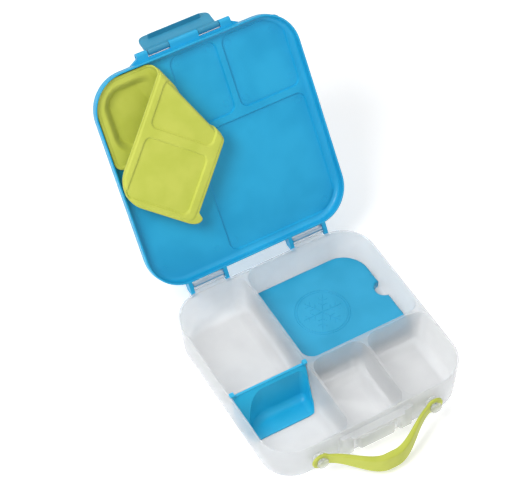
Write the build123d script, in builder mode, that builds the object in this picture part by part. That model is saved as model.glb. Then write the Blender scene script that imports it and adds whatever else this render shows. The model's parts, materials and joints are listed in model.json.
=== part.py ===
from build123d import *
from math import atan, cos, degrees, pi, radians, sin
import os

os.makedirs("parts", exist_ok=True)

# Frame: millimetres, +Z up, origin at the centre of the face that the tray rests on.
# The handle and the latch are at the front (-Y), the lid hinges are at the back (+Y).

# --- driving dimensions -------------------------------------------------------------
tray_side = 222.0          # square outer size at the rim
tray_height = 50.0
tray_corner = 36.0
tray_inset = 4.0           # how far the outer wall draws in at the base
wall = 1.9
floor = 2.0
draft = degrees(atan(tray_inset / tray_height))
ridge_top = 48.5           # top of the ridges between the compartments
ridge = 2.4                # their width at the top
column_x = -24.0           # ridge between the long column and the rest
row_y = -20.5              # ridge between the bread compartment and the front row
cell_x = 38.0              # ridge between the two small front compartments
slot_base = 5.0            # hollow under each ridge: its width at the base
slot_tip = 1.4             # and at its top
slot_rise = 42.0
rim_round = 0.6            # small round on the rim and on the ridges' tops
base_round = 8.0

lid_side = 228.0
lid_corner = 39.0
lid_low = 45.5             # lower edge of the skirt, with the lid closed
lid_top = 58.5
lid_face = 56.6            # inner face of the plate, with the lid closed
lid_wall = 1.9
lid_open = 124.0           # degrees from closed to the stop
panel_depth = 2.3          # each recess inside stands out as a pad of this height outside
panel_corner = 9.0
skirt_round = 0.8

hinge_y = 119.5
hinge_z = 50.0
hinge_x = 58.0             # centre of each pair of lugs
lug_reach = 20.0           # centre of a lug from the centre of its pair
lug_width = 4.0
pin_radius = 2.0
running_gap = 0.05
hook_radius = 4.6
hook_width = 34.0
hook_root_y = 109.2        # inside the back wall

catch_y = -116.1           # front of the block under the ledge
ledge_y = -118.2           # front of the ledge that the latch's ridge clips under
ledge_low = 38.6
ledge_high = 41.2
block_low = 15.0
block_high = 32.0
boss_x = 33.0
boss_low = 13.0
front_root_y = -105.6      # behind the front wall
boss_y = -114.6

latch_y = -119.5
latch_z = 56.5
latch_open = 143.0         # degrees from closed to the stop
latch_length = 25.0
latch_half = 39.5
latch_corner = 9.0
clip_half = 29.0           # half the length of the ridge that clips under the ledge
barrel_radius = 3.4
stub_radius = 1.6
knuckle = 32.0             # the lid's middle knuckle
ear_x = 46.5
ear_width = 12.0

stud_x = 64.0
stud_z = 27.0
stud_steps = (             # start, length, radius and taper along each stud
    (0.0, 6.8, 6.4, 0),
    (0.0, 14.8, 3.2, 0),
    (13.2, 2.4, 6.4, 25),
)
strap_y = -115.6           # middle of the strap's thickness at the studs
strap_droop = 25.0         # degrees below level at the middle of the strap
strap_bow = 32.0           # how far the strap bows out from its studs

pack_height = 14.0         # cooler pack
pack_wall = 1.2


def lid_plane(height):
    """The closed lid's level plane at this height, swung open about the hinge."""
    swing = radians(lid_open)
    rise = height - hinge_z
    return Plane(
        origin=(
            0,
            hinge_y - hinge_y * cos(swing) + rise * sin(swing),
            hinge_z + hinge_y * sin(swing) + rise * cos(swing),
        ),
        x_dir=(1, 0, 0),
        z_dir=(0, sin(swing), cos(swing)),
    )


def lid_side_plane(x):
    """The closed lid's upright plane across X, swung open: local x is Y, local y is Z."""
    swing = radians(lid_open)
    base = lid_plane(0).origin
    return Plane(
        origin=(x, base.Y, base.Z),
        x_dir=(0, cos(swing), -sin(swing)),
        z_dir=(1, 0, 0),
    )


def cell(x0, x1, y0, y1, low, top, outer=(), corner=13.0, foot=11.0, gap=0.0):
    """A drafted cutter with round corners: outer names the corners that follow the tray's own."""
    with BuildPart() as cutter:
        with BuildSketch(Plane.XY.offset(top)) as plan:
            with Locations(((x0 + x1) / 2, (y0 + y1) / 2)):
                Rectangle(x1 - x0 - 2 * gap, y1 - y0 - 2 * gap)
            for side in ((-1, -1), (-1, 1), (1, -1), (1, 1)):
                spot = (x1 if side[0] > 0 else x0, y1 if side[1] > 0 else y0, top)
                size = tray_corner - wall if side in outer else corner
                fillet(plan.vertices().sort_by_distance(spot)[0], size - gap)
        extrude(amount=-(top - low), taper=draft)
        fillet(cutter.faces().sort_by(Axis.Z)[0].edges(), foot)
    return cutter.part


edge = tray_side / 2 - wall
half_ridge = ridge / 2
column = dict(x0=-edge, x1=column_x - half_ridge, y0=-edge, y1=edge, outer=[(-1, -1), (-1, 1)])
bread = dict(x0=column_x + half_ridge, x1=edge, y0=row_y + half_ridge, y1=edge, outer=[(1, 1)], foot=7.0)
middle = dict(x0=column_x + half_ridge, x1=cell_x - half_ridge, y0=-edge, y1=row_y - half_ridge)
right = dict(x0=cell_x + half_ridge, x1=edge, y0=-edge, y1=row_y - half_ridge, outer=[(1, -1)])

# --- tray: one drafted shell with four wells, hollow ridges, hooks, catch and studs ---
wells = [cell(low=floor, top=tray_height, **well) for well in (column, bread, middle, right)]
# The front fittings are made apart and trimmed to the wells, so nothing stands out inside them.
with BuildPart() as fittings:
    # The catch: a ledge for the latch's ridge, on a block with a rounded nose.
    with BuildSketch(Plane.XY.offset(block_low)):
        with Locations((0, (catch_y + front_root_y) / 2)):
            RectangleRounded(40, front_root_y - catch_y, 3)
    extrude(amount=block_high - block_low)
    with BuildSketch(Plane.XY.offset(ledge_low)):
        with Locations((0, (ledge_y + front_root_y) / 2)):
            RectangleRounded(2 * clip_half + 2, front_root_y - ledge_y, 3)
    extrude(amount=ledge_high - ledge_low)
    # A rounded boss stands on each side of the latch.
    for x in (-boss_x, boss_x):
        with BuildSketch(Plane.XY.offset(boss_low)):
            with Locations((x, (boss_y + front_root_y) / 2)):
                RectangleRounded(15, front_root_y - boss_y, 3)
        extrude(amount=ledge_high - boss_low)
    # Round studs hold the handle: a wide foot, a neck and a tapering head.
    for x in (-stud_x, stud_x):
        stud_axis = Plane((x, front_root_y, stud_z), x_dir=(1, 0, 0), z_dir=(0, -1, 0))
        for start, reach, radius, slope in stud_steps:
            with BuildSketch(stud_axis.offset(start)):
                Circle(radius)
            extrude(amount=reach, taper=slope)
    add(wells, mode=Mode.SUBTRACT)
front = fittings.part

with BuildPart() as tray:
    with BuildSketch(Plane.XY.offset(tray_height)):
        RectangleRounded(tray_side, tray_side, tray_corner)
    extrude(amount=-tray_height, taper=draft)
    fillet(tray.faces().sort_by(Axis.Z)[0].edges(), base_round)
    add(wells, mode=Mode.SUBTRACT)
    # The ridges stop short of the rim.
    with BuildSketch(Plane.XY.offset(ridge_top)):
        RectangleRounded(2 * edge, 2 * edge, tray_corner - wall)
    extrude(amount=tray_height - ridge_top, mode=Mode.SUBTRACT)
    fillet(tray.faces().sort_by(Axis.Z)[-1].edges(), rim_round)
    # Under each ridge a tapering slot keeps the walls even and runs out through the side.
    with BuildSketch(Plane.XY):
        with Locations((column_x, 0)):
            Rectangle(slot_base, tray_side)
        with Locations(((column_x + tray_side / 2) / 2, row_y)):
            Rectangle(tray_side / 2 - column_x, slot_base)
        with Locations((cell_x, (row_y - tray_side / 2) / 2)):
            Rectangle(slot_base, row_y + tray_side / 2)
    extrude(amount=slot_rise, taper=degrees(atan((slot_base - slot_tip) / 2 / slot_rise)), mode=Mode.SUBTRACT)
    # Two hooks reach out under the skirt and clip up over the lid's pins.
    for x in (-hinge_x, hinge_x):
        with BuildSketch(Plane.YZ.offset(x - hook_width / 2)):
            with BuildLine():
                Polyline(
                    (hook_root_y, 38), (hook_root_y, 44.8), (hinge_y - 2, 44.8), (hinge_y, 46.5),
                    (hinge_y + 2.6, 46.3), (hinge_y + 1, 42.6), (hook_root_y, 38),
                )
            make_face()
            with Locations((hinge_y, hinge_z)):
                Circle(hook_radius)
                Circle(pin_radius + running_gap, mode=Mode.SUBTRACT)
            with Locations((hinge_y - 4.2, hinge_z + 1.5)):
                Rectangle(6.4, 2.9, mode=Mode.SUBTRACT)
        extrude(amount=hook_width)
    add(front)
tray.part.label = "tray"
export_step(tray.part, "parts/tray.step")
print("tray", tray.part.is_valid, len(tray.part.solids()), tray.part.volume, tray.part.bounding_box())

# --- lid: plate and skirt, recessed panels, seal window, hinge lugs with pins, latch ears ---
panels = (
    (-22.0, 30.5, -106.0, -29.0),
    (36.5, 105.0, -106.0, -29.0),
    (-22.0, 105.0, -22.0, 106.0),
)
window = (-100.0, -34.0, -100.0, -32.0)   # the seal's bowl passes through here
pad_margin = 0.6
lid_front = -112.6         # inside the skirt's front wall
lug_x = [sign * hinge_x + side * lug_reach for sign in (-1, 1) for side in (-1, 1)]
heel_y = tray_side / 2 - tray_inset * 6 / tray_height + 0.35 - hinge_y
heel_z = -6.0
swing = radians(lid_open)
heel = (
    hinge_y + heel_y * cos(swing) - heel_z * sin(swing),
    hinge_z + heel_y * sin(swing) + heel_z * cos(swing),
)


def dome(side, corner, top, round_edge):
    """A square block with round corners, from the skirt's lower edge up to top, in the lid's frame."""
    with BuildPart() as block:
        with BuildSketch(lid_plane(lid_low)):
            RectangleRounded(side, side, corner)
        extrude(amount=top - lid_low)
        fillet(block.faces().sort_by(Axis((0, 0, 0), lid_plane(0).z_dir))[-1].edges(), round_edge)
    return block.part


lid_shell = dome(lid_side, lid_corner, lid_top, 5.5)
lid_hollow = dome(lid_side - 2 * lid_wall, lid_corner - lid_wall, lid_face, 5.0)
with BuildPart() as lid:
    add(lid_shell)
    add(lid_hollow, mode=Mode.SUBTRACT)
    fillet(lid.faces().sort_by(Axis((0, 0, 0), lid_plane(0).z_dir))[0].edges(), skirt_round)
    for x0, x1, y0, y1 in panels:
        with BuildSketch(lid_plane(lid_top)):
            with Locations(((x0 + x1) / 2, (y0 + y1) / 2)):
                RectangleRounded(x1 - x0 + 2 * pad_margin, y1 - y0 + 2 * pad_margin, panel_corner)
        extrude(amount=panel_depth, taper=30)
    for x0, x1, y0, y1 in panels:
        with BuildSketch(lid_plane(lid_face)):
            with Locations(((x0 + x1) / 2, (y0 + y1) / 2)):
                RectangleRounded(x1 - x0, y1 - y0, panel_corner)
        extrude(amount=panel_depth, taper=20, mode=Mode.SUBTRACT)
    x0, x1, y0, y1 = window
    with BuildSketch(lid_plane(lid_face - 1)):
        with Locations(((x0 + x1) / 2, (y0 + y1) / 2)):
            RectangleRounded(x1 - x0, y1 - y0, 24)
    extrude(amount=lid_top - lid_face + 2, mode=Mode.SUBTRACT)
    # Triangular lugs carry the pins. Their heels meet the tray's back wall at the open stop.
    for x in lug_x:
        with BuildSketch(lid_side_plane(x - lug_width / 2)):
            with BuildLine():
                Polyline(
                    (112.6, lid_low), heel, (hinge_y + 3.5, hinge_z + 6), (113.4, lid_top - 1.5),
                    (112.6, lid_low), close=True,
                )
            make_face()
            with Locations((hinge_y, hinge_z)):
                Circle(4.4)
        extrude(amount=lug_width)
    for x in (-hinge_x, hinge_x):
        with BuildSketch(lid_side_plane(x - lug_reach)):
            with Locations((hinge_y, hinge_z)):
                Circle(pin_radius)
        extrude(amount=2 * lug_reach)
    # Two ears and a middle knuckle stand out in front for the latch.
    for x, width in ((-ear_x, ear_width), (ear_x, ear_width), (0.0, knuckle)):
        with BuildSketch(lid_side_plane(x - width / 2)):
            with BuildLine():
                Polyline(
                    (lid_front, latch_z - barrel_radius), (latch_y, latch_z - barrel_radius),
                    (latch_y, latch_z + barrel_radius), (lid_front, lid_top - 2),
                    (lid_front, latch_z - barrel_radius), close=True,
                )
            make_face()
            with Locations((latch_y, latch_z)):
                Circle(barrel_radius)
            with Locations((latch_y, latch_z)):
                Circle(stub_radius + running_gap, mode=Mode.SUBTRACT)
        extrude(amount=width)
    # A low shelf closes the gap behind the latch, and a gusset braces each ear.
    shelf_front = latch_y + barrel_radius + 0.6
    with BuildSketch(lid_plane(latch_z - 2.6)):
        with Locations((0, (lid_front + shelf_front) / 2)):
            Rectangle(2 * ear_x, lid_front - shelf_front)
        for side in (-1, 1):
            with BuildLine():
                Polyline(
                    (side * (ear_x + 16), lid_front), (side * (ear_x + 5), latch_y + 1),
                    (side * (ear_x + 5), lid_front), (side * (ear_x + 16), lid_front),
                )
            make_face()
    extrude(amount=3.6)
lid.part.label = "lid"
export_step(lid.part, "parts/lid.step")
print("lid", lid.part.is_valid, len(lid.part.solids()), lid.part.volume, lid.part.bounding_box())


# --- latch: drawn closed in its own level, then placed folded out by its opening angle ---
def latch_plane(x):
    """Upright plane across X through the latch's hinge: local x away from the tray, local y up."""
    side = lid_side_plane(x)
    centre = side.from_local_coords((latch_y, latch_z, 0))
    turn = radians(lid_open + latch_open)
    return Plane(origin=centre, x_dir=(0, -cos(turn), sin(turn)), z_dir=(-1, 0, 0))


barrel_width = latch_half - knuckle / 2 - 0.5
barrel_x = latch_half - barrel_width / 2
latch_flat = Plane(origin=latch_plane(0).origin, x_dir=(1, 0, 0), z_dir=latch_plane(0).x_dir)
with BuildPart() as latch:
    # The plate is thick at the barrels, bows out a little, and ends in a finger lip.
    plate_low = -latch_length
    with BuildSketch(latch_plane(latch_half)):
        with BuildLine():
            Polyline(
                (3.4, 0), (4.0, -8), (4.2, -18), (6.4, plate_low), (4.6, plate_low - 0.6),
                (2.2, -19.6), (1.9, -8), (1.4, -4.4), (1.0, -3.2), (3.4, 0), close=True,
            )
        make_face()
    extrude(amount=2 * latch_half)
    with BuildSketch(latch_flat.offset(-10)):
        RectangleRounded(2 * latch_half, 2 * latch_length + 1.2, latch_corner)
    extrude(amount=20, mode=Mode.INTERSECT)
    with BuildSketch(latch_plane(clip_half)):
        with BuildLine():
            Polyline((2.6, -19.8), (-2.6, -19.8), (-3.0, -18.8), (2.6, -17.6), (2.6, -19.8), close=True)
        make_face()
    extrude(amount=2 * clip_half)
    for x in (-barrel_x, barrel_x):
        with BuildSketch(latch_plane(x + barrel_width / 2)):
            Circle(barrel_radius)
        extrude(amount=barrel_width)
    with BuildSketch(latch_plane(ear_x - 0.5)):
        Circle(stub_radius)
    extrude(amount=2 * ear_x - 1)
    with BuildSketch(latch_plane(knuckle / 2 + 0.5)):
        Circle(barrel_radius + 0.6)
        Circle(stub_radius, mode=Mode.SUBTRACT)
    extrude(amount=knuckle + 1, mode=Mode.SUBTRACT)
latch.part.label = "latch"
export_step(latch.part, "parts/latch.step")
print("latch", latch.part.is_valid, len(latch.part.solids()), latch.part.volume, latch.part.bounding_box())

# --- seal: a bowl at the front left corner, and the rest of the strip folded back over it ---
seal_low = 50.2
seal_top = 56.2
with BuildPart() as seal:
    with BuildSketch(lid_plane(seal_low)) as rim:
        with Locations((-67.0, -65.5)):
            Rectangle(78, 81)
        fillet(rim.vertices().sort_by_distance((-106, -106, 0))[0], 32)
        fillet(rim.vertices().sort_by_distance((-28, -25, 0))[0], 8)
    extrude(amount=seal_top - seal_low)
    x0, x1, y0, y1 = window
    with BuildSketch(lid_plane(seal_top)):
        with Locations(((x0 + x1) / 2, (y0 + y1) / 2)):
            RectangleRounded(x1 - x0 - 0.8, y1 - y0 - 0.8, 23.6)
    extrude(amount=7.0)
    with BuildSketch(lid_plane(seal_low)):
        with Locations(((x0 + x1) / 2, (y0 + y1) / 2)):
            RectangleRounded(x1 - x0 - 4.8, y1 - y0 - 4.8, 21.6)
    extrude(amount=seal_top + 5.0 - seal_low, mode=Mode.SUBTRACT)
    # The flap lies folded back along a slanting line, clear of the bowl.
    flap_low = seal_low - 9.0
    with BuildSketch(lid_plane(flap_low)):
        with BuildLine():
            Polyline((-43, -106), (6, -20), (-46, 64), (-72, 50), (-96, 28), (-106, 8), (-104, -10),
                     (-43, -106), close=True)
        make_face()
    extrude(amount=3.0)
    with BuildSketch(lid_plane(flap_low)):
        with BuildLine():
            Polyline((-43, -106), (-30, -83), (-38, -78), (-51, -101), (-43, -106), close=True)
        make_face()
    extrude(amount=seal_top - flap_low)
seal.part.label = "seal"
export_step(seal.part, "parts/seal.step")
print("seal", seal.part.is_valid, len(seal.part.solids()), seal.part.volume, seal.part.bounding_box())

# --- handle: a flat strap, thin at its eyelets, bowed out and drooping in the middle ---
strap_half_width = 6.0


def strap_point(x):
    """Centre of the strap at this x: flat by the studs, then one smooth bow."""
    share = max(0.0, min(1.0, (stud_x - abs(x)) / stud_x))
    bow = strap_bow * (share ** 2 * (3 - 2 * share))
    droop = radians(strap_droop)
    return (x, strap_y - bow * cos(droop), stud_z - bow * sin(droop))


with BuildPart() as handle:
    with BuildLine() as run:
        Spline(*[strap_point(x) for x in (-56, -44, -32, -16, 0, 16, 32, 44, 56)],
               tangents=[(1, -0.35, -0.15), (1, 0.35, 0.15)])
    sections = []
    for step in range(9):
        at = step / 8
        spot = run.line @ at
        along = run.line % at
        thick = 2.4 + 1.8 * sin(pi * at)
        with BuildSketch(Plane(origin=spot, x_dir=Vector(along.Y, -along.X, 0).normalized(), z_dir=along)):
            RectangleRounded(thick, 2 * strap_half_width, 1.1)
    loft()
    for x in (-stud_x, stud_x):
        with BuildSketch(Plane((x, strap_y + 1.2, stud_z), x_dir=(1, 0, 0), z_dir=(0, -1, 0))):
            Circle(8.6)
        extrude(amount=2.4)
        with BuildSketch(Plane((x * 0.94, strap_y + 1.2, stud_z - 0.2), x_dir=(1, 0, 0), z_dir=(0, -1, 0))):
            Rectangle(10, 11)
        extrude(amount=2.4)
    for x in (-stud_x, stud_x):
        with BuildSketch(Plane((x, strap_y + 9, stud_z), x_dir=(1, 0, 0), z_dir=(0, -1, 0))):
            Circle(4.4)
        extrude(amount=18, mode=Mode.SUBTRACT)
handle.part.label = "handle"
export_step(handle.part, "parts/handle.step")
print("handle", handle.part.is_valid, len(handle.part.solids()), handle.part.volume, handle.part.bounding_box())

# --- divider: a scoop across the long column, with a hook over the wall at each end ---
divider_back = -18.5
divider_front = -50.0
divider_skin = 1.6
divider_block = cell(low=floor + 0.3, top=tray_height - 2.5, gap=0.9, **column)
divider_hollow = cell(
    low=floor + 0.3 + divider_skin, top=tray_height - 2.5, gap=0.9 + divider_skin, corner=11, foot=8,
    **{**column, "y1": divider_back - divider_skin},
)
with BuildPart() as divider:
    add(divider_block)
    add(divider_hollow, mode=Mode.SUBTRACT)
    with BuildSketch(Plane.YZ.offset(-tray_side)):
        Rectangle(4 * tray_side, 4 * tray_side)
        with BuildLine():
            Polyline((divider_back, 0), (divider_back, tray_height), (-21, tray_height), (-21, 46))
            Spline((-21, 46), (-29, 33), (-36, 19), (divider_front, 4.6))
            Polyline((divider_front, 4.6), (divider_front, 0), (divider_back, 0))
        make_face(mode=Mode.SUBTRACT)
    extrude(amount=2 * tray_side, mode=Mode.SUBTRACT)
    # Each hook stands inside its wall and reaches over the wall's top.
    hooks = (
        (-edge + 0.7, -edge + 3.6, -edge - 1.3, tray_height + 0.3),
        (column_x - half_ridge - 3.6, column_x - half_ridge - 0.7, column_x, ridge_top + 0.3),
    )
    for x0, x1, reach, rest_on in hooks:
        with BuildSketch(Plane.XY.offset(tray_height - 4)):
            with Locations(((x0 + x1) / 2, divider_back - divider_skin)):
                RectangleRounded(x1 - x0, 5.0, 1.0)
        extrude(amount=rest_on + 1.6 - tray_height + 4)
        with BuildSketch(Plane.XY.offset(rest_on)):
            with Locations(((min(x0, reach) + max(x1, reach)) / 2, divider_back - divider_skin)):
                RectangleRounded(max(x1, reach) - min(x0, reach), 5.0, 1.0)
        extrude(amount=1.6)
divider.part.label = "divider"
export_step(divider.part, "parts/divider.step")
print("divider", divider.part.is_valid, len(divider.part.solids()), divider.part.volume,
      divider.part.bounding_box())

# --- cooler pack: two shells joined at mid height, gel inside, and a filling plug underneath ---
pack_low = floor + 0.3
pack_x0, pack_x1 = -18.0, 104.2
pack_y0, pack_y1 = -14.5, 103.0
pack_corner = 10.0
pack_big_corner = 29.0
notch_y = 43.0
notch_radius = 10.0


def pack_body(low, top, shrink):
    """A slab of the pack's outline, drawn in by shrink, with its finger notch."""
    with BuildPart() as slab:
        with BuildSketch(Plane.XY.offset(low)) as plan:
            with Locations(((pack_x0 + pack_x1) / 2, (pack_y0 + pack_y1) / 2)):
                Rectangle(pack_x1 - pack_x0 - 2 * shrink, pack_y1 - pack_y0 - 2 * shrink)
            for x in (pack_x0, pack_x1):
                for y in (pack_y0, pack_y1):
                    size = pack_big_corner if (x, y) == (pack_x1, pack_y1) else pack_corner
                    fillet(plan.vertices().sort_by_distance((x, y, low))[0], size - shrink)
            with Locations((pack_x1 + 1.0, notch_y)):
                Circle(notch_radius + shrink, mode=Mode.SUBTRACT)
        extrude(amount=top - low)
    return slab.part


seam = pack_low + pack_height / 2
pack_top = pack_low + pack_height
pack_margin = pack_wall + 4.2      # solid edge of each shell
top_block = pack_body(seam, pack_top, 0)
top_hollow = pack_body(seam, pack_top - pack_wall, pack_margin)
base_block = pack_body(pack_low, seam, 0)
base_hollow = pack_body(pack_low + pack_wall, seam, pack_margin)
gel_block = pack_body(pack_low + pack_wall + 0.1, pack_top - pack_wall - 0.8, pack_margin + 0.1)
plug_spot = (47, 88, pack_low + pack_wall / 2)
plug_radius = 4.0

with BuildPart() as cooler_top:
    add(top_block)
    fillet(cooler_top.faces().sort_by(Axis.Z)[-1].edges(), 2.5)
    add(top_hollow, mode=Mode.SUBTRACT)
cooler_top.part.label = "cooler_top_shell"
export_step(cooler_top.part, "parts/cooler_top_shell.step")

with BuildPart() as cooler_base:
    add(base_block)
    fillet(cooler_base.faces().sort_by(Axis.Z)[0].edges(), 5.8)
    add(base_hollow, mode=Mode.SUBTRACT)
    with Locations(plug_spot):
        Cylinder(plug_radius, pack_wall, mode=Mode.SUBTRACT)
cooler_base.part.label = "cooler_base_shell"
export_step(cooler_base.part, "parts/cooler_base_shell.step")

with BuildPart() as cooler_gel:
    add(gel_block)
cooler_gel.part.label = "cooler_gel"
export_step(cooler_gel.part, "parts/cooler_gel.step")

with BuildPart() as cooler_plug:
    with Locations(plug_spot):
        Cylinder(plug_radius, pack_wall)
cooler_plug.part.label = "cooler_plug"
export_step(cooler_plug.part, "parts/cooler_plug.step")
for piece in (cooler_top, cooler_base, cooler_gel, cooler_plug):
    print(piece.part.label, piece.part.is_valid, len(piece.part.solids()), piece.part.volume,
          piece.part.bounding_box())
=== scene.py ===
# %% [markdown]
# # A lunch box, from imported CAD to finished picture
# The hard parts of this box are already made: every moulding with a real size comes from the CAD model.
# This lesson gives each of them a believable plastic, and models the two soft silicone pieces, which CAD
# only blocks out. Everything is in metres, in the CAD model's own frame: +Z is up, the handle is towards -Y.

# %% Start: load the fixed frame
import json
from math import cos, degrees, pi, radians, sin, tau

import bmesh
import bpy
from mathutils import Matrix, Vector


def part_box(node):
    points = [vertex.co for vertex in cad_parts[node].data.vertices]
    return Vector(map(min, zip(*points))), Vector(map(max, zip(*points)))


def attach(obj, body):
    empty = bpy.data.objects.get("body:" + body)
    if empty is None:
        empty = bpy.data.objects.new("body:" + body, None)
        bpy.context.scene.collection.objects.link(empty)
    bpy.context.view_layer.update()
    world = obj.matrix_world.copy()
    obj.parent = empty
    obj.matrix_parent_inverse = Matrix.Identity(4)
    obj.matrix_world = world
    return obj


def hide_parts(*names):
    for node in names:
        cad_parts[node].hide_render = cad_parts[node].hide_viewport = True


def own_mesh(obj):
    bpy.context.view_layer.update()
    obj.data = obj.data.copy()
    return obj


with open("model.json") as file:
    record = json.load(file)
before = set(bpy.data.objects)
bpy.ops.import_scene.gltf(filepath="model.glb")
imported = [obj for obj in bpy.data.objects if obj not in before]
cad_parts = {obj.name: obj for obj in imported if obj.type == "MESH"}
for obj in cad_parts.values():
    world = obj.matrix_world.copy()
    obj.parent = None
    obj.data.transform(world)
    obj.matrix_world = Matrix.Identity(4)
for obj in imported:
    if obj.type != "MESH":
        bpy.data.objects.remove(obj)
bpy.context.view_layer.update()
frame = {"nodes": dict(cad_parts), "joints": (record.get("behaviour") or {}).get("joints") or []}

nodes = frame["nodes"]
joints = {joint["name"]: joint for joint in frame["joints"]}
MM = 0.001
print("nodes:", sorted(nodes))

# %% [markdown]
# The lid stands open at rest. Shapes on it are far easier to think about with the lid shut and level, so
# they are drawn that way and then swung open by the hinge's own angle. This matrix does the swing.

# %% The closed lid's frame
hinge = Vector(joints["lid_hinge"]["pos_m"])
lid_travel = radians(joints["lid_hinge"]["range_deg"][1])
SWING_OPEN = Matrix.Translation(hinge) @ Matrix.Rotation(-lid_travel, 4, "X") @ Matrix.Translation(-hinge)
LID_FACE = 0.0566        # inner face of the closed lid's plate
print("the lid swings", round(degrees(lid_travel)), "degrees")

# %% [markdown]
# ## Shader maths as plain Python
# A node graph is easier to read as an expression. `Link` wraps one output socket, and its operators add
# Math nodes. `Finish` makes one material: its `node` method makes any node, settings first, then sockets.


# %% A link
class Link:
    """One output socket. Arithmetic on it adds Math nodes."""

    def __init__(self, finish, socket):
        self.finish = finish
        self.socket = socket

    def math(self, operation, *others):
        return self.finish.node("ShaderNodeMath", {"operation": operation}, self, *others)

    def __add__(self, other):
        return self.math("ADD", other)

    def __sub__(self, other):
        return self.math("SUBTRACT", other)

    def __rsub__(self, other):
        return self.finish.node("ShaderNodeMath", {"operation": "SUBTRACT"}, other, self)

    def __mul__(self, other):
        return self.math("MULTIPLY", other)

    __radd__ = __add__
    __rmul__ = __mul__

    def between(self, low, high):
        """0 below low, 1 above high, smooth in the middle."""
        settings = {"interpolation_type": "SMOOTHSTEP"}
        return self.finish.node("ShaderNodeMapRange", settings, self, low, high, 0.0, 1.0)


# %% A finish
class Finish:
    """A material with one Principled shader, and a method that adds any other node."""

    def __init__(self, name, **sockets):
        self.material = bpy.data.materials.new(name)
        self.material.use_nodes = True
        self.tree = self.material.node_tree
        self.shader = self.tree.nodes["Principled BSDF"]
        self.surface(**sockets)

    def surface(self, **sockets):
        """Sets or links sockets of the shader. An underscore in a name stands for a space."""
        self.set(self.shader, sockets)

    def set(self, node, sockets):
        for name, value in sockets.items():
            self.feed(node.inputs[name.replace("_", " ")], value)

    def feed(self, socket, value):
        """Links a socket, or gives it a constant."""
        if isinstance(value, Link):
            self.tree.links.new(value.socket, socket)
        elif socket.type == "RGBA" and len(value) == 3:
            socket.default_value = (*value, 1.0)
        else:
            socket.default_value = value

    def node(self, kind, settings=None, *values, output=None, **sockets):
        """Adds a node: its settings first, then its sockets in order, then those given by name."""
        made = self.tree.nodes.new(kind)
        for name, value in (settings or {}).items():
            setattr(made, name, value)
        for socket, value in zip([socket for socket in made.inputs if socket.enabled], values):
            self.feed(socket, value)
        self.set(made, sockets)
        in_use = [socket for socket in made.outputs if socket.enabled]
        return Link(self, made.outputs[output] if output else in_use[0])

    def place(self):
        """Object coordinates, in metres."""
        return self.node("ShaderNodeTexCoord", output="Object")

    def noise(self, size, detail=2.0):
        """Noise whose blotches are about this size, in metres."""
        return self.node("ShaderNodeTexNoise", None, Vector=self.place(), Scale=1 / size, Detail=detail)

    def tint(self, amount, low, high):
        """A colour from low to high as amount goes from 0 to 1."""
        return self.node("ShaderNodeMix", {"data_type": "RGBA"}, amount, low, high)

    def grain(self, height, distance):
        """Feeds a height into the shader's Normal through a Bump node."""
        bump = self.node("ShaderNodeBump", None, Strength=1.0, Distance=distance, Height=height)
        self.surface(Normal=bump)


def wear(piece, finish):
    """Gives a piece one finish."""
    piece.data.materials.clear()
    piece.data.materials.append(finish.material)


# %% [markdown]
# ## Plastics
# All the hard pieces are polypropylene. The tray is left almost natural, so light passes into it and
# scatters: it is nearly white, and a colour behind one wall shows through faintly. The blue pieces hold
# pigment, so they are close to opaque, with a satin skin. Each finish has a fine moulded grain in its bump
# and slow changes in its roughness, because a real mould never polishes a surface evenly.

# %% Frosted tray plastic
frosted = Finish(
    "frosted_plastic", Metallic=0.0, IOR=1.35, Alpha=0.40, Transmission_Weight=0.2,
    Subsurface_Weight=1.0, Subsurface_Radius=(1.0, 1.0, 1.0), Subsurface_Scale=0.004,
)
cloud = frosted.noise(0.03)
frosted.surface(
    Base_Color=frosted.tint(cloud.between(0.3, 0.7), (0.73, 0.745, 0.76), (0.78, 0.795, 0.81)),
    Roughness=cloud * 0.1 + 0.36,
)
frosted.grain(frosted.noise(0.0006), 0.00003)
print("made", frosted.material.name)

# %% [markdown]
# The four blues differ only in pigment and gloss, so one function makes them all. The latch is thin and a
# little clear, and the cooler pack is the dullest.


# %% Blue plastic
def blue_plastic(name, deep, bright, rough, clear=0.0):
    """Satin blue: deep and bright are the two ends of its slow mottling."""
    finish = Finish(name, Metallic=0.0, IOR=1.46, Transmission_Weight=clear)
    blotch = finish.noise(0.04)
    fine = finish.noise(0.0008)
    finish.surface(
        Base_Color=finish.tint(blotch.between(0.3, 0.7), deep, bright),
        Roughness=blotch * 0.12 + fine * 0.06 + rough,
    )
    finish.grain(fine, 0.00002)
    return finish


lid_blue = blue_plastic("lid_blue", (0.010, 0.36, 0.65), (0.017, 0.41, 0.71), 0.30)
latch_blue = blue_plastic("latch_blue", (0.035, 0.32, 0.52), (0.05, 0.36, 0.57), 0.28, clear=0.25)
divider_blue = blue_plastic("divider_blue", (0.008, 0.40, 0.68), (0.015, 0.45, 0.75), 0.32)
cooler_blue = blue_plastic("cooler_blue", (0.013, 0.34, 0.58), (0.024, 0.39, 0.65), 0.36)
print("made", [blue.material.name for blue in (lid_blue, latch_blue, divider_blue, cooler_blue)])

# %% [markdown]
# Silicone is matt and a little velvety, because fine dust clings to it: a weak sheen and an uneven
# roughness give that. The gel is sealed inside the cooler pack, and is almost clear.

# %% Silicone and gel
lime = Finish("lime_silicone", Metallic=0.0, IOR=1.41, Sheen_Weight=0.12, Sheen_Roughness=0.5)
bloom = lime.noise(0.02)
dust = lime.noise(0.0009, 3.0)
lime.surface(
    Base_Color=lime.tint(bloom.between(0.25, 0.75), (0.52, 0.575, 0.075), (0.575, 0.62, 0.095)),
    Roughness=dust * 0.12 + bloom * 0.1 + 0.45,
)
lime.grain(dust, 0.00003)

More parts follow.
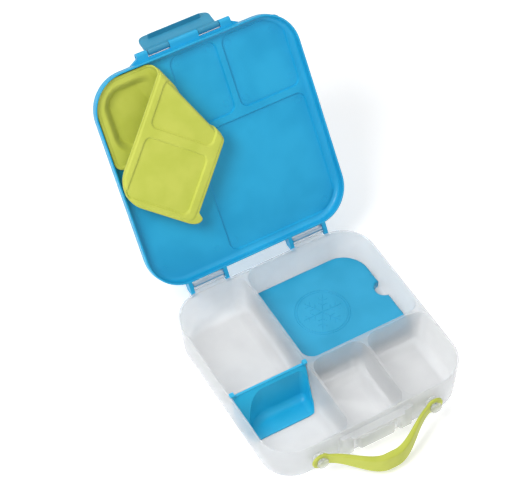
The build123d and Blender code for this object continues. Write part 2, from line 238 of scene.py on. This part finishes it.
clear_gel = Finish("clear_gel", Metallic=0.0, Roughness=0.15, IOR=1.34, Transmission_Weight=0.8)
swirl = clear_gel.noise(0.012)
clear_gel.surface(Base_Color=clear_gel.tint(swirl, (0.62, 0.84, 0.93), (0.8, 0.93, 0.97)))
print("made", lime.material.name, "and", clear_gel.material.name)

# %% Give every CAD node its finish
for name, finish in {
    "tray": frosted, "lid": lid_blue, "latch": latch_blue, "divider": divider_blue,
    "cooler_top_shell": cooler_blue, "cooler_base_shell": cooler_blue, "cooler_plug": cooler_blue,
    "cooler_gel": clear_gel, "seal": lime, "handle": lime,
}.items():
    wear(nodes[name], finish)
print("every CAD node has a finish")

# %% [markdown]
# ## The camera and the room
# The box stands on a white floor under wide, soft lamps. The camera is far off with a long lens, high up
# and to the front left, so upright edges stay nearly parallel.


# %% Placing and aiming
def look_from(spot, azimuth, elevation, distance):
    """A point at this distance from spot. Azimuth 0 is in front, at -Y."""
    flat = distance * cos(elevation)
    return spot + Vector((flat * sin(azimuth), -flat * cos(azimuth), distance * sin(elevation)))


def aim(thing, spot, roll=0.0):
    """Turns a lamp or camera to face spot."""
    facing = (spot - thing.location).to_track_quat("-Z", "Y")
    thing.rotation_euler = (facing.to_matrix() @ Matrix.Rotation(roll, 3, "Z")).to_euler()


# %% Lamps
BOX_MIDDLE = Vector((0.0, 0.06, 0.07))
ROOM_LIGHT = 0.42


def soft_lamp(name, azimuth, elevation, distance, size, watts):
    """A round lamp of this size, aimed at the middle of the box. Its angles are in degrees."""
    lamp = bpy.data.lights.new(name, "AREA")
    lamp.shape = "DISK"
    lamp.size = size
    lamp.energy = watts
    body = bpy.data.objects.new(name, lamp)
    bpy.context.scene.collection.objects.link(body)
    body.location = look_from(BOX_MIDDLE, radians(azimuth), radians(elevation), distance)
    aim(body, BOX_MIDDLE)


soft_lamp("key", -75, 55, 1.6, 0.7, 14)
soft_lamp("fill", 5, 55, 1.9, 1.4, 4)
soft_lamp("back", 170, 65, 1.6, 0.9, 5)

world = bpy.data.worlds.new("room")
bpy.context.scene.world = world
world.use_nodes = True
sky = world.node_tree.nodes["Background"]
sky.inputs["Color"].default_value = (1.0, 1.0, 1.0, 1.0)
sky.inputs["Strength"].default_value = ROOM_LIGHT
print("three lamps in a pale room")

# %% [markdown]
# A white floor turns grey in soft light. It glows a little of its own, which keeps it white and still lets
# the box throw a faint shadow.

# %% Floor
FLOOR_GLOW = 0.28
FLOOR_REACH = 6.0        # from the middle to each edge
floor_mesh = bmesh.new()
bmesh.ops.create_grid(floor_mesh, x_segments=1, y_segments=1, size=FLOOR_REACH)
floor = bpy.data.objects.new("floor", bpy.data.meshes.new("floor"))
floor_mesh.to_mesh(floor.data)
floor_mesh.free()
bpy.context.scene.collection.objects.link(floor)
white_floor = Finish(
    "white_floor", Roughness=0.9, Emission_Color=(1.0, 1.0, 1.0), Emission_Strength=FLOOR_GLOW,
)
paper = white_floor.noise(0.5)
white_floor.surface(Base_Color=white_floor.tint(paper, (0.97, 0.97, 0.97), (0.98, 0.98, 0.98)))
wear(floor, white_floor)
print("floor:", 2 * FLOOR_REACH, "m wide")

# %% Camera
VIEW_CENTRE = Vector((-0.0012, 0.0986, 0.080))
VIEW_AZIMUTH = radians(-28.0)
VIEW_ELEVATION = radians(50.1)
VIEW_ROLL = radians(-2.2)
VIEW_DISTANCE = 2.115
LENS = 142.5

lens = bpy.data.cameras.new("camera")
lens.lens = LENS
camera = bpy.data.objects.new("camera", lens)
bpy.context.scene.collection.objects.link(camera)
camera.location = look_from(VIEW_CENTRE, VIEW_AZIMUTH, VIEW_ELEVATION, VIEW_DISTANCE)
aim(camera, VIEW_CENTRE, VIEW_ROLL)
bpy.context.scene.camera = camera
bpy.context.scene.view_settings.view_transform = "Standard"
print("camera at", [round(v, 2) for v in camera.location])


# %% [markdown]
# ## Helpers for meshes
# `finished` turns a bmesh into an object that sits at the origin with smooth shading, and puts it on a body
# of the frame. `settle` bakes modifiers into the mesh.
# `smoothstep` and `depth_inside` shape surfaces: an S curve between two values, and the distance in from
# the edge of a rectangle with round corners.


# %% From a bmesh to an object
def finished(shape, name, finish, body, sharp=40):
    """An object at the origin made from a bmesh, smooth where its faces meet at less than sharp degrees."""
    mesh = bpy.data.meshes.new(name)
    bmesh.ops.recalc_face_normals(shape, faces=shape.faces)
    shape.to_mesh(mesh)
    shape.free()
    mesh.shade_smooth()
    mesh.set_sharp_from_angle(angle=radians(sharp))
    piece = bpy.data.objects.new(name, mesh)
    bpy.context.scene.collection.objects.link(piece)
    wear(piece, finish)
    if body:
        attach(piece, body)
    return piece


def settle(piece, finish):
    """Applies a piece's modifiers to its mesh, which is then smooth all over."""
    graph = bpy.context.evaluated_depsgraph_get()
    solid = bpy.data.meshes.new_from_object(piece.evaluated_get(graph))
    piece.modifiers.clear()
    piece.data = solid
    solid.shade_smooth()
    wear(piece, finish)


# %% Curves
def smoothstep(low, high, value):
    """0 below low, 1 above high, and an S curve between them."""
    share = max(0.0, min(1.0, (value - low) / (high - low)))
    return share * share * (3 - 2 * share)


def depth_inside(x, y, cell, corner):
    """How far a point is inside a rectangle with round corners; negative outside."""
    x0, x1, y0, y1 = cell
    across = abs(x - (x0 + x1) / 2) - ((x1 - x0) / 2 - corner)
    along = abs(y - (y0 + y1) / 2) - ((y1 - y0) / 2 - corner)
    outside = Vector((max(across, 0.0), max(along, 0.0))).length
    return corner - outside - min(max(across, along), 0.0)


# %% [markdown]
# ## The silicone seal
# The seal is one moulded strip that lies over the three front cells: a deep bowl at the left, which pokes
# out through the lid, and two shallow panels. Here its right side has been peeled off and folded back over
# the bowl on a slant. The strip is drawn flat, in the closed lid's frame, and then rolled over a slanting
# line, the way a hand would do it. Silicone springs back, so the roll stands up in a tall, narrow loop, and
# half an ellipse is a good likeness of it. Bending one flat grid keeps the ribs and the rim in step with
# the strip, which a separately sculpted flap would not.

# %% Sizes of the seal, in millimetres
# STRIP, BOWL and PANELS are outlines: x from and to, then y from and to.
STRIP = (-110.5, 107.0, -110.5, -21.0)
OUTER_CORNER = 31.0
INNER_CORNER = 9.0
RIM_WIDTH = 2.2          # the flat rim round the strip, then its step up to the sheet
RIM_SLOPE = 1.4
RIM_DROP = 0.9
BOWL = (-103.0, -31.0, -103.0, -29.0)
BOWL_CORNER = 24.0
BOWL_SLOPE = 10.0
BOWL_DEPTH = 10.4
BOWL_FADE = 20.0         # the bowl goes flat over this distance before the fold
PANELS = ((-22.5, 29.0, -102.0, -30.5), (36.5, 101.5, -102.0, -30.5))
PANEL_CORNER = 8.0
PANEL_SLOPE = 1.8
PANEL_DEPTH = 2.0
TAB = (93.0, 99.0)       # the pull tab grows between these x, and is full from there to the strip's end
TAB_ROOT = 12.0          # the strip stretches over this much of its depth to make the tab
TAB_REACH = 6.0
STRIP_LEVEL = 51.4       # middle of the sheet's thickness
SKIN = 1.6
FOLD_START = Vector((-38.4, -103.5))
FOLD_END = Vector((0.0, -22.1))
LOOP_REACH = 5.0         # half the loop's width along the strip
LOOP_RISE = 9.0          # half its height off the lid
LOOP_LENGTH = pi * ((LOOP_REACH ** 2 + LOOP_RISE ** 2) / 2) ** 0.5
FLAP_LEAN = 0.0003       # lean of the flap's end towards the lid, for each squared mm past the loop
print("the loop takes up", round(LOOP_LENGTH, 1), "mm of the strip")


# %% Relief and corners of the flat strip
def corner_at(y):
    """Corner radius on this side: wide at the lid's front edge, tight at its middle."""
    return OUTER_CORNER if y < (STRIP[2] + STRIP[3]) / 2 else INNER_CORNER


def strip_height(x, y, from_fold):
    """How far the sheet is pushed towards the lid at a point of the strip."""
    rim = depth_inside(x, y, STRIP, corner_at(y))
    bowl = depth_inside(x, y, BOWL, BOWL_CORNER)
    height = -RIM_DROP * (1 - smoothstep(RIM_WIDTH, RIM_WIDTH + RIM_SLOPE, rim))
    height += BOWL_DEPTH * smoothstep(0, BOWL_SLOPE, bowl) * (1 - smoothstep(-BOWL_FADE, 0, from_fold))
    for panel in PANELS:
        height -= PANEL_DEPTH * smoothstep(0, PANEL_SLOPE, depth_inside(x, y, panel, PANEL_CORNER))
    return height


def round_corner(x, y):
    """Draws the corners of a square grid in to arcs, by turning square rings into round ones."""
    x0, x1, y0, y1 = STRIP
    corner = corner_at(y)
    centre_x = min(max(x, x0 + corner), x1 - corner)
    centre_y = min(max(y, y0 + corner), y1 - corner)
    across = x - centre_x
    along = y - centre_y
    if across == 0 or along == 0:
        return x, y
    pull = max(abs(across), abs(along)) / (across ** 2 + along ** 2) ** 0.5
    return centre_x + across * pull, centre_y + along * pull


# %% Rolling the strip over the fold
def rolled(x, y):
    """Where a point of the flat strip goes when the strip is rolled back over the fold."""
    along = (FOLD_END - FOLD_START).normalized()
    over = Vector((along.y, -along.x))
    at = Vector((x, y)) - FOLD_START
    run = at.dot(along)
    out = at.dot(over)
    start = -LOOP_REACH - SKIN / 2
    height = strip_height(x, y, out - start)
    if out <= start:
        return Vector((x, y, STRIP_LEVEL + height))
    turn = min((out - start) / LOOP_LENGTH, 1.0) * pi
    past = max(out - start - LOOP_LENGTH, 0.0)
    reach = start + (LOOP_REACH + height) * sin(turn) - past
    level = STRIP_LEVEL - LOOP_RISE + (LOOP_RISE + height) * cos(turn) + FLAP_LEAN * past * past
    flat = FOLD_START + along * run + over * reach
    return Vector((flat.x, flat.y, level))


# %% The strip itself
strip = bmesh.new()
bmesh.ops.create_grid(strip, x_segments=312, y_segments=130, size=0.5)
x0, x1, y0, y1 = STRIP
for corner in strip.verts:
    x, y = round_corner(x0 + (corner.co.x + 0.5) * (x1 - x0), y0 + (corner.co.y + 0.5) * (y1 - y0))
    tab = smoothstep(*TAB, x) * smoothstep(y1 - TAB_ROOT, y1, y)
    corner.co = rolled(x, y + TAB_REACH * tab) * MM
bmesh.ops.transform(strip, matrix=SWING_OPEN, verts=strip.verts)
seal = finished(strip, "silicone_seal", lime, None)
skin = seal.modifiers.new("skin", "SOLIDIFY")
skin.thickness = SKIN * MM
skin.offset = 0.0
settle(seal, lime)
print("seal:", len(seal.data.polygons), "faces")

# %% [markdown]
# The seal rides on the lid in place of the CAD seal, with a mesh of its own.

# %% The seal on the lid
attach(seal, "lid_body")
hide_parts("seal")
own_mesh(seal)

# %% [markdown]
# ## The handle
# The strap is a flat silicone band, thin at its eyelets and thick in the middle. A bent band could be a
# swept curve, but its round eyelets would then need to be joined on by hand. Here the band and the two
# eyelet rings are three simple shapes, melted together by a voxel remesh, which also rounds the joins the
# way a mould does.

# %% Where the studs are
strap_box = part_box("handle")
swing = joints["handle_swing"]
STUD_X = 0.064
STRAP_Y, STUD_LEVEL = swing["pos_m"][1:]
print("strap spans", round(strap_box[1].x - strap_box[0].x, 4), "m")

# %% Sizes of the strap, in metres
BOW = 0.0290             # how far its middle stands off the line through the studs
BOW_START = 0.93         # it has its whole bow at this share of the way to its middle
DROOP = radians(25)
LEAN = 0.35 * DROOP      # turn of the band about its own line, at its middle
BAND_THICK = 0.0032
BAND_WIDE = 0.013
BAND_ROUND = 0.0013
BAND_END = 0.006         # it stops this far from each stud, inside the eyelet
END_THICKNESS = 0.85     # this and the next are in band thicknesses
ADDED_THICKNESS = 1.5
ADDED_WIDTH = 0.4        # of the band's width
EYE = 0.0096
EYE_HOLE = 0.0044
EYE_THICK = 0.0024
VOXEL = 0.0006


# %% The band
def strap_line(x):
    """Centre of the strap at this x."""
    bow = BOW * smoothstep(0, STUD_X * BOW_START, STUD_X - abs(x))
    return Vector((x, STRAP_Y - bow * cos(DROOP), STUD_LEVEL - bow * sin(DROOP)))


def long_edges(shape):
    return [edge for edge in shape.edges if abs(edge.verts[0].co.x - edge.verts[1].co.x) > STUD_X]


strap = bmesh.new()
bmesh.ops.create_cube(strap, size=1.0)
bmesh.ops.scale(strap, vec=(2 * (STUD_X - BAND_END), BAND_THICK, BAND_WIDE), verts=strap.verts)
bmesh.ops.bevel(
    strap, geom=long_edges(strap), offset=BAND_ROUND, offset_type="OFFSET", affect="EDGES", segments=3,
    profile=0.5, material=-1,
)
bmesh.ops.subdivide_edges(strap, edges=long_edges(strap), cuts=96, use_grid_fill=True)
STEP = 0.0005            # half the stretch over which the strap's direction is measured
for corner in strap.verts:
    x, y, z = corner.co
    inward = smoothstep(0, STUD_X, STUD_X - abs(x))
    ahead = strap_line(x + STEP) - strap_line(x - STEP)
    side = Vector((ahead.y, -ahead.x, 0.0)).normalized() * (END_THICKNESS + ADDED_THICKNESS * inward)
    up = Vector((0, sin(LEAN * inward), cos(LEAN * inward))) * (1 + ADDED_WIDTH * inward)
    corner.co = strap_line(x) - side * y + up * z
print("band:", len(strap.faces), "faces")


# %% The eyelets
def only_verts(parts):
    return [part for part in parts if isinstance(part, bmesh.types.BMVert)]


for x in (-STUD_X, STUD_X):
    rim = bmesh.ops.create_circle(strap, cap_ends=False, segments=48, radius=EYE)["verts"]
    edges = list({edge for corner in rim for edge in corner.link_edges})
    hole = only_verts(bmesh.ops.extrude_edge_only(strap, edges=edges)["geom"])
    bmesh.ops.scale(strap, vec=(EYE_HOLE / EYE, EYE_HOLE / EYE, 1.0), verts=hole)
    flat = list({face for corner in hole for face in corner.link_faces})
    back = only_verts(bmesh.ops.solidify(strap, geom=flat, thickness=EYE_THICK)["geom"])
    eyelet = list({*rim, *hole, *back})
    level = sum(corner.co.z for corner in eyelet) / len(eyelet)
    stand = Matrix.Translation((x, STRAP_Y, STUD_LEVEL)) @ Matrix.Rotation(pi / 2, 4, "X")
    bmesh.ops.transform(strap, matrix=stand @ Matrix.Translation((0, 0, -level)), verts=eyelet)
print("eyelets at x", -STUD_X, "and", STUD_X)

# %% Melt the three shapes into one
handle = finished(strap, "silicone_handle", lime, None)
melt = handle.modifiers.new("melt", "REMESH")
melt.mode = "VOXEL"
melt.voxel_size = VOXEL
relax = handle.modifiers.new("relax", "SMOOTH")
relax.factor = 0.5
relax.iterations = 5
settle(handle, lime)
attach(handle, "handle_body")
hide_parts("handle")
print("handle:", len(handle.data.polygons), "faces")

# %% [markdown]
# ## Moulded marks
# Moulded plastic keeps small traces of its tool: round marks where pins pushed the part out, and shallow
# embossed lines. Both are made from thin round bars, half sunk in the surface. A bump in the material would
# be lost from the mesh, and these marks are part of the moulding's shape.


# %% A ring and a bar
def mark_ring(shape, x, y, z, radius, line):
    """A fine raised ring: a circle of small cross-section swept round."""
    start = bmesh.ops.create_circle(shape, cap_ends=False, segments=8, radius=line)["verts"]
    lift = Matrix.Translation((x + radius, y, z)) @ Matrix.Rotation(pi / 2, 4, "X")
    bmesh.ops.transform(shape, matrix=lift, verts=start)
    loop = list({edge for corner in start for edge in corner.link_edges})
    bmesh.ops.spin(
        shape, geom=start + loop, cent=(x, y, z), axis=(0, 0, 1), angle=tau, steps=40, use_merge=True,
    )


def rod(shape, start, end, line):
    """A thin straight bar with round sides from start to end."""
    reach = end - start
    made = bmesh.ops.create_cone(
        shape, cap_ends=True, segments=8, radius1=line, radius2=line, depth=reach.length,
    )["verts"]
    turn = reach.to_track_quat("Z", "Y").to_matrix().to_4x4()
    bmesh.ops.transform(shape, matrix=Matrix.Translation((start + end) / 2) @ turn, verts=made)


# %% [markdown]
# The lid's marks are in the corners of its recessed panels, and on the plate beside them. They are placed
# on the closed lid and then swung open with it.

# %% Pin marks on the lid
PIN = 0.0032             # radius of a mark, and of the bar that draws it
PIN_LINE = 0.00016
PANEL_FACE = LID_FACE + 0.0023
PANEL_PINS = ((-14, -98), (22, -98), (22, -40), (44, -97), (92, -92), (97, -40), (44, -38),
              (97, -14), (-14, 97), (92, 95))
PLATE_PINS = ((-96, 92), (-96, 10), (-36, 96))
pin_marks = bmesh.new()
for level, pins in ((PANEL_FACE, PANEL_PINS), (LID_FACE, PLATE_PINS)):
    for x, y in pins:
        mark_ring(pin_marks, x * MM, y * MM, level, PIN, PIN_LINE)
bmesh.ops.transform(pin_marks, matrix=SWING_OPEN, verts=pin_marks.verts)
finished(pin_marks, "lid_pin_marks", lid_blue, "lid_body", sharp=80)
print("pin marks:", len(PANEL_PINS) + len(PLATE_PINS))

# %% [markdown]
# The cooler pack gets a plain snow crystal inside a double ring, which tells a child what it is for. One
# arm is a stem with two pairs of side bars, and it is repeated six times round.

# %% Snow crystal on the cooler pack
CRYSTAL = Vector((0.034, 0.047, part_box("cooler_top_shell")[1].z))
RINGS = (0.0285, 0.0262)
ARM = 0.022
BRANCH_STARTS = (0.009, 0.015)
BRANCH = 0.0055
LINE = 0.00035

crystal = bmesh.new()
for radius in RINGS:
    mark_ring(crystal, *CRYSTAL, radius, LINE)
for arm in range(6):
    out = Vector((cos(arm * pi / 3), sin(arm * pi / 3), 0.0))
    rod(crystal, CRYSTAL, CRYSTAL + out * ARM, LINE)
    for start in BRANCH_STARTS:
        root = CRYSTAL + out * start
        for side in (-1, 1):
            rod(crystal, root, root + Matrix.Rotation(side * pi / 3, 3, "Z") @ out * BRANCH, LINE)
print("crystal:", len(crystal.faces), "faces")
finished(crystal, "cooler_crystal", cooler_blue, "cooler_body", sharp=60)
